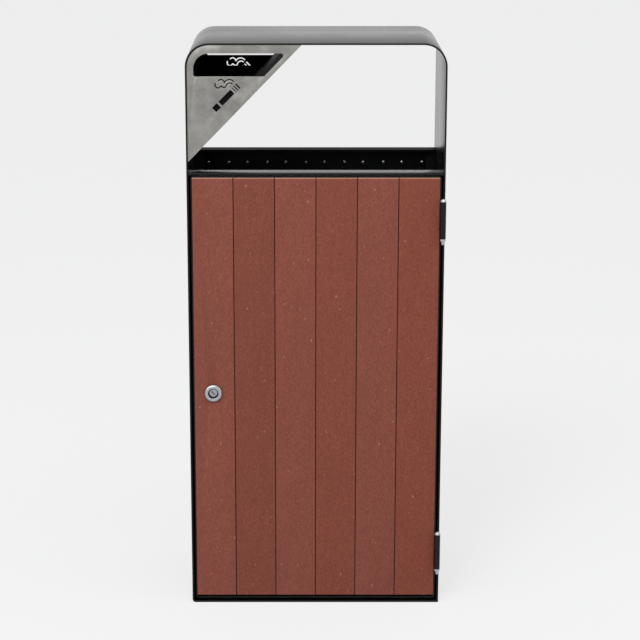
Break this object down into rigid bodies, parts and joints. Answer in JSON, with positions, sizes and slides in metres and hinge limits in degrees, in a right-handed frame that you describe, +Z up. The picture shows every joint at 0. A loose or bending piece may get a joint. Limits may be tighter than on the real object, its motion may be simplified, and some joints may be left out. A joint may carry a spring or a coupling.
{
  "type": "litter bin",
  "caption": "Free-standing litter bin with a hoop frame, a lockable plank door, an open throw-in space and a corner ash unit.",
  "frame": {"origin": "middle of the base's underside, between the four anchor holes", "axes": "+Z up, +X to the right, front towards -Y"},
  "size_m": [0.4415, 0.2703, 1],
  "materials": {
    "black_coat": "satin black powder coat",
    "wood_plank": "red-brown wood and plastic composite with a fine brushed grain",
    "stainless_plate": "matt brushed stainless steel",
    "galvanised_sheet": "spangled zinc",
    "zinc_fastener": "bright zinc plate",
    "bright_chrome": "polished nickel chrome",
    "magnet": "dark coated magnet block"
  },
  "bodies": {
    "frame": {"ash_flap_catch": "magnet", "ash_hinge_ears": "black_coat", "ash_hinge_rod": "zinc_fastener", "ash_rod_caps": "zinc_fastener", "front_ash_plate": "stainless_plate", "front_left_stile": "black_coat", "front_rail": "black_coat", "front_right_stile": "black_coat", "hoop": "black_coat", "liner_runner_left": "black_coat", "liner_runner_right": "black_coat", "liner_stop": "black_coat", "lower_hinge_bolt": "bright_chrome", "lower_hinge_nut": "bright_chrome", "lower_hinge_post": "black_coat", "rear_ash_plate": "stainless_plate", "rear_left_stile": "black_coat", "rear_plank_1": "wood_plank", "rear_plank_2": "wood_plank", "rear_plank_3": "wood_plank", "rear_plank_4": "wood_plank", "rear_plank_5": "wood_plank", "rear_plank_6": "wood_plank", "rear_plank_screws": "zinc_fastener", "rear_rail": "black_coat", "rear_right_stile": "black_coat", "rear_tray": "black_coat", "upper_hinge_bolt": "bright_chrome", "upper_hinge_nut": "bright_chrome", "upper_hinge_post": "black_coat"},
    "door": {"door_plank_1": "wood_plank", "door_plank_2": "wood_plank", "door_plank_3": "wood_plank", "door_plank_4": "wood_plank", "door_plank_5": "wood_plank", "door_plank_6": "wood_plank", "door_plank_screws": "zinc_fastener", "door_tray": "black_coat", "upper_hinge_door_knuckle": "black_coat", "lower_hinge_door_knuckle": "black_coat", "lock_body": "bright_chrome", "lock_nut": "zinc_fastener"},
    "lock": {"lock_plug": "bright_chrome", "lock_cam": "zinc_fastener", "lock_cam_screw": "zinc_fastener"},
    "ash_flap": {"ash_flap": "black_coat", "ash_pan_studs": "zinc_fastener"},
    "ash_pan": {"ash_pan": "black_coat"},
    "liner": {"liner_bucket": "galvanised_sheet"}
  },
  "joints": [
    {"name": "door_hinge", "type": "hinge", "parent": "frame", "child": "door", "pos_m": [0.2165, -0.1353, 0.39], "axis": [0, 0, 1], "range_deg": [0, 110]},
    {"name": "lock_turn", "type": "hinge", "parent": "door", "child": "lock", "pos_m": [-0.1785, -0.13, 0.3915], "axis": [0, 1, 0], "range_deg": [0, 90]},
    {"name": "ash_flap_hinge", "type": "hinge", "parent": "frame", "child": "ash_flap", "pos_m": [-0.2115, 0, 0.81326], "axis": [0, 1, 0], "range_deg": [0, 48]},
    {"name": "ash_pan_slide", "type": "slide", "parent": "ash_flap", "child": "ash_pan", "axis": [0.6971, 0, 0.717], "range_m": [0, 0.015]},
    {"name": "liner_lift", "type": "slide", "parent": "frame", "child": "liner", "axis": [0, 0, 1], "range_m": [0, 0.025]}
  ]
}
